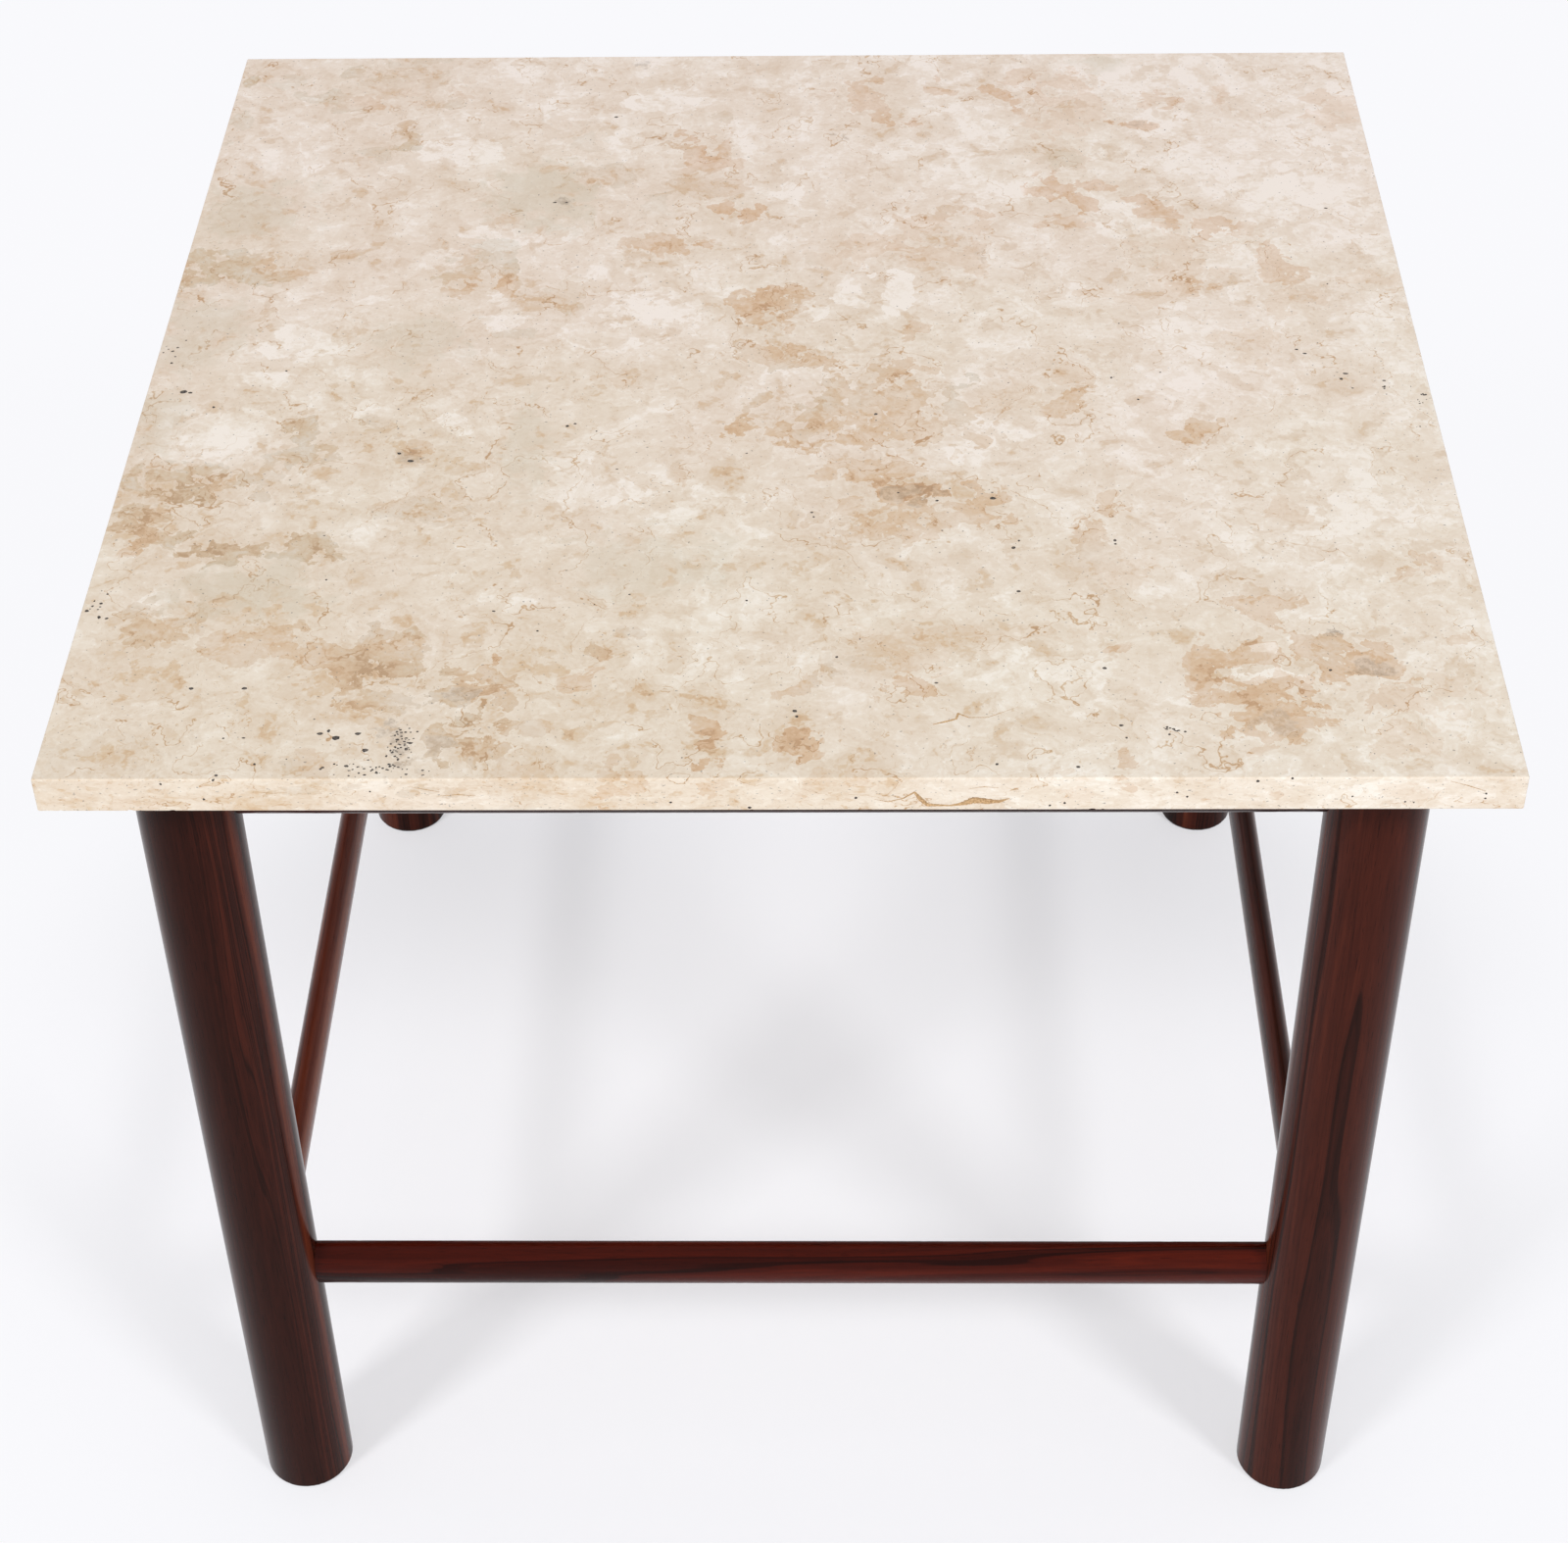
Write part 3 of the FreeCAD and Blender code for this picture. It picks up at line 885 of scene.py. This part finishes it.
def vein_tone(tree, tone, seams, patches, backward):
    """A tone with tan seams in the clouds, and fine hairs that fade to the back."""
    seam = vein(tree, seams, HALFWAY, SEAM_WIDTH)
    seam = times(tree, seam, rise(tree, patches["clouds"], *SEAM_CLOUDS))
    tone = added(tree, tone, seam, SEAM_TONE)
    hair = vein(tree, patches["lumps"], HAIR_LEVEL, HAIR_WIDTH)
    hair = times(tree, hair, rise(tree, patches["clots"], *HAIR_CLOTS))
    hair = times(tree, hair, added(tree, 1.0, backward, HAIR_FADES_TO_BACK))
    return added(tree, tone, hair, HAIR_TONE)


print("Marks with frayed edges:", ", ".join(MARK_EDGES))

# %% [markdown]
# ## The colours of the travertine
# Iron colours the stone: cream where there is little, tan and rust where there is more. A colour ramp turns
# the tone into those colours. One ramp would give all stains the same hue, so the colour is then tinted: rosy
# towards the back, rusty in the stains, and dun in the stains on the left. Grey and smoky patches and tiny
# dark grains are laid over it last.

# %% Colours of the travertine
STONE_TONES = (
    (0.00, screen_colour(190, 157, 125)),
    (0.15, screen_colour(208, 179, 149)),
    (0.30, screen_colour(216, 193, 167)),
    (0.45, screen_colour(221, 204, 186)),
    (0.60, screen_colour(227, 213, 198)),
    (0.75, screen_colour(232, 220, 207)),
    (0.90, screen_colour(238, 229, 219)),
    (1.00, screen_colour(244, 237, 230)),
)
CREAM_TINT = screen_colour(255, 254, 247)
ROSE_TINT = screen_colour(255, 250, 246)
ROSE, ROSE_SWING, ROSE_RISE = (150, 3), 1.2, (-0.45, 0.35)
RUST_TINT = screen_colour(255, 248, 239)
ROSY_RUST_TINT = screen_colour(255, 242, 233)
DUN_TINT = screen_colour(248, 252, 251)
DUN, DUN_TO_RIGHT, DUN_RISE = (70, 2), -0.6, (0.45, 0.75)
GREY_STONE, GREY_SHARE = screen_colour(205, 193, 170), 0.4
SMOKY_STONE, SMOKE_SHARE = screen_colour(140, 122, 104), 0.6
LEAST_SOOT, SOOT_SWING, SOOT_GRAIN = 0.3, 0.7, (0.62, 0.38)
PEPPER, PEPPER_SHARE = screen_colour(112, 104, 98), 0.6
PEPPER_GRAIN, PEPPER_RISE = (1.8, 1, 0.5), (0.71, 0.75)


def stone_tint(tree, bed, ways, backward, stain):
    """Cream, turning rosy to the back, with rust or dun in the stains."""
    rosy = added(tree, ways["Y"], centred(tree, noise(tree, bed, *ROSE)), ROSE_SWING)
    tint = blend(tree, rise(tree, rosy, *ROSE_RISE), CREAM_TINT, ROSE_TINT)
    dun = rise(tree, added(tree, noise(tree, bed, *DUN), ways["X"], DUN_TO_RIGHT), *DUN_RISE)
    rust = blend(tree, dun, blend(tree, backward, RUST_TINT, ROSY_RUST_TINT), DUN_TINT)
    return blend(tree, stain, tint, rust)


def stone_colour(tree, tone, tint, bed, grain, marks):
    """The tone as a tinted colour, with grey, smoky and peppered places."""
    colour = blend(tree, 1.0, ramp(tree, tone, STONE_TONES), tint, "MULTIPLY")
    colour = blend(tree, times(tree, marks["grey"], GREY_SHARE), colour, GREY_STONE)
    soot = added(tree, LEAST_SOOT, rise(tree, grain, *SOOT_GRAIN), SOOT_SWING)
    sooty = times(tree, marks["smoke"], soot)
    colour = blend(tree, times(tree, sooty, SMOKE_SHARE), colour, SMOKY_STONE)
    pepper = rise(tree, noise(tree, bed, *PEPPER_GRAIN), *PEPPER_RISE)
    return blend(tree, times(tree, pepper, PEPPER_SHARE), colour, PEPPER)


print(len(STONE_TONES), "stone colours")

# %% [markdown]
# ## The travertine finish
# The finish puts the tone together step by step and then gives it colour, a honed sheen and a faint relief.
# The walls of the hollows need a finish too, or they would show polished stone deep inside a pit: pits are
# dark grey, partly their own grit and partly painted shade, the cracks hold tan earth, and the chips are
# clean stone. One texture with a mask could do all three, but a material for each wall is easier to change.

# %% Mix the travertine
BED_THICKNESS = 0.5
PUSH_GRAIN = 34
LEAST_ROUGHNESS, ROUGHNESS_SWING = 0.36, 0.25
STONE_SPECULAR = 0.25
STONE_RELIEF, STONE_RELIEF_STRENGTH = (2.0, 2), 0.12
RELIEF_DEPTH = 0.3
GRIT, GRIT_RELIEF_STRENGTH = (0.8, 3, 0.6), 0.5
DARK_GRIT, LIGHT_GRIT = 0.35, 0.65
GRIT_ROUGHNESS = 0.9
# Dark and light grit on the wall of a pit, partly painted shade, and on that of a crack
PIT_GRIT_AND_SHADE = (screen_colour(58, 55, 55), screen_colour(118, 109, 101))
EARTH_GRIT = (screen_colour(172, 138, 96), screen_colour(214, 182, 140))


def travertine():
    """Honed travertine: clouded cream and tan, with level layers on the edges."""
    stone, tree, shader, place = new_finish("honed_travertine")
    layers = {"Vector": place, "Location": (0, 0, slab_top), "Scale": (1, 1, BED_THICKNESS)}
    bed = add_node(tree, "Mapping", layers, vector_type="TEXTURE").outputs["Vector"]
    push = push_of(tree, bed, PUSH_GRAIN)
    ground = noise(tree, bed, *GROUND)
    patches = stone_patches(tree, bed, push)
    tone = ground_tone(tree, ground, patches)
    tone = piece_tone(tree, tone, bed, push, patches["clouds"])
    grain = noise(tree, bed, *FINE_GRAIN)
    tone = grain_tone(tree, tone, grain)
    ways = add_node(tree, "SeparateXYZ", {0: place}).outputs
    backward = rise(tree, ways["Y"], *BACK_HALF)
    mottle = noise(tree, pushed(tree, bed, push, MOTTLE_PUSH), *MOTTLE)
    tone = drift_tone(tree, tone, ways, mottle, backward)
    marks = frayed_marks(tree, patches, backward)
    tone = mark_tone(tree, tone, marks)
    seams = noise(tree, pushed(tree, bed, push, SEAM_PUSH), *SEAM)
    tone = vein_tone(tree, tone, seams, patches, backward)
    tint = stone_tint(tree, bed, ways, backward, marks["stain"])
    feed(tree, shader.inputs["Base Color"], stone_colour(tree, tone, tint, bed, grain, marks))
    roughness = added(tree, LEAST_ROUGHNESS, patches["clots"], ROUGHNESS_SWING)
    feed(tree, shader.inputs["Roughness"], roughness)
    shader.inputs["Specular IOR Level"].default_value = STONE_SPECULAR
    relief(tree, shader, noise(tree, bed, *STONE_RELIEF), STONE_RELIEF_STRENGTH, RELIEF_DEPTH)
    return stone


def hollow_stone(name, dark, light):
    """The rough wall of a hollow, in grit of two colours, which for a pit also holds painted shade."""
    wall, tree, shader, place = new_finish(name)
    grit = noise(tree, place, *GRIT)
    feed(tree, shader.inputs["Base Color"], ramp(tree, grit, ((DARK_GRIT, dark), (LIGHT_GRIT, light))))
    shader.inputs["Roughness"].default_value = GRIT_ROUGHNESS
    relief(tree, shader, grit, GRIT_RELIEF_STRENGTH, RELIEF_DEPTH)
    return wall


travertine_finish = travertine()
# The pit wall's dark grey is partly grit and partly painted shade in the hollows
walls = (
    hollow_stone("pit_wall", *PIT_GRIT_AND_SHADE),
    hollow_stone("earth_wall", *EARTH_GRIT),
    travertine_finish,
)
print("The travertine has", len(travertine_finish.node_tree.nodes), "nodes")

# %% [markdown]
# ## Carve and paint the slab
# A first Boolean joins the balls that run into each other into one skin. Only the exact solver can untangle
# such overlaps. A second Boolean takes that skin out of the slab, with the manifold solver, which is quick
# and sure when both shapes are closed. Each hands the material of a ball on to the wall that the ball
# leaves. The marks are painted last, when every vertex has its final place.

# %% Carve and paint
def after_boolean(item, operation, other=None):
    """The mesh of an object after a Boolean with another object, or with its own overlapping parts."""
    step = item.modifiers.new(operation.lower(), "BOOLEAN")
    step.operation = operation
    step.material_mode = "TRANSFER"
    if other:
        step.solver = "MANIFOLD"
        step.object = other
    else:
        step.solver = "EXACT"
        step.operand_type = "COLLECTION"
        step.use_self = True
    result = bpy.data.meshes.new_from_object(item.evaluated_get(bpy.context.evaluated_depsgraph_get()))
    item.modifiers.clear()
    return result


cutter = object_from(hollows, "hollows")
for wall in walls:
    cutter.data.materials.append(wall)
cutter.data = after_boolean(cutter, "UNION")
slab.data.materials.append(travertine_finish)
carved = after_boolean(slab, "DIFFERENCE", cutter)
slab.data = carved
bpy.data.objects.remove(cutter)

vertex_places = pushed_places(carved)
for kind in MARKS:
    paint(carved, vertex_places, kind)
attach(slab, "top")
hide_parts("stone_top")
wall_faces = sum(face.material_index > 0 for face in carved.polygons)
print("The carved slab has", len(carved.polygons), "faces,", wall_faces, "of them in hollows")

# %% [markdown]
# ## The rosewood finish
# The legs and rails are dark rosewood under a thin gloss lacquer: red brown with nearly black streaks along
# the grain, and short fine pores. The streaks are growth rings cut lengthwise. They are drawn as rings about
# a pith that lies outside the table, so that each piece is cut from another part of one log and no two show
# the same figure. A wave texture would repeat evenly, so the ring number goes into a noise of one dimension.

# %% Mix the rosewood
QUARTER_TURN = math.radians(90)
UNTINTED = screen_colour(255, 255, 255)
# Turn that lays the grain along Z, tint, and tone that the figure starts from
WOODS = {
    "upright": ((0, 0, 0), UNTINTED, -0.08),
    "across": ((0, QUARTER_TURN, 0), screen_colour(236, 172, 150), -0.08),
    "along": ((QUARTER_TURN, 0, 0), UNTINTED, -0.08),
    # The last one starts paler as painted light: the left lamp's light on the left stretcher
    "along_painted_light": ((QUARTER_TURN, 0, 0), UNTINTED, 0.14),
}
WOOD_TONES = (
    (0.25, screen_colour(26, 9, 5)),
    (0.42, screen_colour(49, 19, 12)),
    (0.55, screen_colour(68, 28, 18)),
    (0.68, screen_colour(90, 40, 25)),
    (0.82, screen_colour(112, 57, 36)),
)
PITH = Vector((0.21, 0.46, 0))
GRAIN_STRETCH = 0.06
SWAY_GRAIN, SWAY_DETAIL, SWAY_REACH = 60, 3.0, 40
RING_WIDTH, RING_DETAIL, RING_ROUGHNESS = 13 * MM, 5, 0.6
RING_SWING = 0.9
DARK_RING, DARK_RING_WIDTH, DARK_RING_TONE = 0.46, 0.03, -0.15
# Scale along the grain, grain in millimetres, detail and roughness, and what each adds to the tone
STREAKS, STREAK_SWING = (GRAIN_STRETCH, 3.0, 4, 0.6), 0.20
THREADS, THREAD_SWING = (0.02, 0.7, 2, 0.5), 0.08
PORES, PORE_RISE, PORE_TONE = (0.035, 0.45, 2, 0.5), (0.62, 0.7), -0.14
LACQUER_ROUGHNESS, LACQUER_SWING = 0.14, 0.12
LACQUER_SPECULAR = 0.07
PORE_RELIEF_STRENGTH, PORE_RELIEF_DEPTH = 0.06, 0.2


def along_grain(tree, turned, stretch, *look):
    """A noise drawn out along the grain."""
    return noise(tree, vector_maths(tree, "MULTIPLY", turned, (1, 1, stretch)), *look)


def growth_rings(tree, turned):
    """A noise that changes from ring to ring about the pith, with the rings swaying along the grain."""
    fibres = vector_maths(tree, "MULTIPLY", turned, (1, 1, GRAIN_STRETCH))
    swayed = pushed(tree, fibres, push_of(tree, fibres, SWAY_GRAIN, SWAY_DETAIL), SWAY_REACH)
    across = vector_maths(tree, "MULTIPLY", vector_maths(tree, "SUBTRACT", swayed, PITH), (1, 1, 0))
    ring = add_node(tree, "VectorMath", {0: across}, operation="LENGTH").outputs["Value"]
    inputs = {"W": ring, "Scale": 1 / RING_WIDTH, "Detail": RING_DETAIL, "Roughness": RING_ROUGHNESS}
    return add_node(tree, "TexNoise", inputs, noise_dimensions="1D").outputs["Fac"]


def rosewood(direction):
    """Lacquered rosewood with its grain upright, across the table or along it."""
    turn, tint, shade = WOODS[direction]
    wood, tree, shader, place = new_finish("rosewood_" + direction)
    turned = add_node(tree, "Mapping", {"Vector": place, "Rotation": turn}).outputs["Vector"]
    rings = growth_rings(tree, turned)
    threads = along_grain(tree, turned, *THREADS)
    pores = rise(tree, along_grain(tree, turned, *PORES), *PORE_RISE)
    tone = added(tree, shade, rings, RING_SWING)
    tone = added(tree, tone, along_grain(tree, turned, *STREAKS), STREAK_SWING)
    tone = added(tree, tone, threads, THREAD_SWING)
    tone = added(tree, tone, pores, PORE_TONE)
    tone = added(tree, tone, vein(tree, rings, DARK_RING, DARK_RING_WIDTH), DARK_RING_TONE)
    colour = blend(tree, 1.0, ramp(tree, tone, WOOD_TONES), tint, "MULTIPLY")
    feed(tree, shader.inputs["Base Color"], colour)
    feed(tree, shader.inputs["Roughness"], added(tree, LACQUER_ROUGHNESS, threads, LACQUER_SWING))
    shader.inputs["Specular IOR Level"].default_value = LACQUER_SPECULAR
    relief(tree, shader, pores, PORE_RELIEF_STRENGTH, PORE_RELIEF_DEPTH, sunken=True)
    return wood


wood_finishes = {direction: rosewood(direction) for direction in WOODS}
print("Rosewood:", ", ".join(wood_finishes))

# %% [markdown]
# ## Finish the legs and rails
# A joiner cuts every leg and rail with the grain along its length, because that is the way wood is strong.
# The wooden pieces keep their CAD shapes, so it is enough to give each one the rosewood whose grain runs its
# way. One material that finds the way by itself would need a direction stored on every piece. The left
# stretcher gets a paler copy of its rosewood, as painted light for the light that the left lamp throws on it.

# %% Finish the legs and rails
GRAIN_OF = {"front": "across", "back": "across", "left": "along", "right": "along"}
PAINTED_LIGHT_RAIL = "stretcher_left"
finished = 0
for name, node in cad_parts.items():
    if name.startswith("leg_"):
        direction = "upright"
    # The left stretcher takes the paler copy, which paints on the light of the left lamp
    elif name == PAINTED_LIGHT_RAIL:
        direction = "along_painted_light"
    elif name.startswith(("stretcher_", "upper_rail_")):
        direction = GRAIN_OF[name.split("_")[-1]]
    else:
        continue
    for slot in node.material_slots:
        slot.material = wood_finishes[direction]
    finished += 1
print(finished, "wooden pieces finished")

# %% [markdown]
# ## The felt finish
# Felt is a mat of tangled wool hairs without a weave. Hair particles could give every strand, but a disc
# shows as a thin dark line, so a fine noise that a coarser one pushes about is enough. A little sheen gives
# the dusty rim that wool has against the light.

# %% Mix the felt
FELT_PUSH_GRAIN, FELT_PUSH = 2.0, 2.5
FELT_HAIRS = (0.6, 4, 0.65)
FELT_TONES = ((0.3, screen_colour(17, 15, 15)), (0.7, screen_colour(46, 42, 41)))
FELT_ROUGHNESS = 1.0
FELT_SHEEN = 0.3
FELT_RELIEF_STRENGTH = 0.6

felt, tree, shader, place = new_finish("black_felt")
hairs = noise(tree, pushed(tree, place, push_of(tree, place, FELT_PUSH_GRAIN), FELT_PUSH), *FELT_HAIRS)
feed(tree, shader.inputs["Base Color"], ramp(tree, hairs, FELT_TONES))
shader.inputs["Roughness"].default_value = FELT_ROUGHNESS
shader.inputs["Sheen Weight"].default_value = FELT_SHEEN
relief(tree, shader, hairs, FELT_RELIEF_STRENGTH, RELIEF_DEPTH)
print("The felt has", len(tree.nodes), "nodes")

# %% [markdown]
# ## Felt discs
# A felt disc under each foot spares the floor, and one on each leg keeps the bare stone from rocking. They
# are punched from thick black felt, so the rim is cut straight, with the edges rounded a little and the side
# fuzzy. A plain cylinder would look like rubber. Each disc is a short cone section with a bevelled rim, and
# every vertex is drawn in by a small seeded amount.

# %% Cut the felt discs
FELT_SEGMENTS = 96
FELT_RIM_EASE = 0.35 * MM
FELT_RIM_STEPS = 2
FELT_FUZZ = 0.25 * MM
FELT_SEED = 5
felt_draw = random.Random(FELT_SEED)


def felt_disc(node):
    """A punched felt disc in the place of a CAD node."""
    low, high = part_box(node)
    size = high - low
    radius = size.x / 2
    shape = bmesh.new()
    bmesh.ops.create_cone(shape, cap_ends=True, segments=FELT_SEGMENTS, radius1=radius, radius2=radius,
                          depth=size.z)
    rims = [edge for edge in shape.edges if abs(edge.verts[0].co.z - edge.verts[1].co.z) < size.z / 2]
    bmesh.ops.bevel(shape, geom=rims, offset=FELT_RIM_EASE, segments=FELT_RIM_STEPS,
                    profile=0.5, material=-1, affect="EDGES")
    for vert in shape.verts:
        fuzz = felt_draw.uniform(0, FELT_FUZZ) / radius
        vert.co.x *= 1 - fuzz
        vert.co.y *= 1 - fuzz
    bmesh.ops.translate(shape, verts=shape.verts, vec=(low + high) / 2)
    disc = object_from(shape, node.replace("felt", "felt_disc"))
    disc.data.materials.append(felt)
    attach(disc, "base")
    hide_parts(node)
    return disc


discs = [felt_disc(node) for node in sorted(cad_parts) if "_felt_" in node]
print(len(discs), "felt discs")
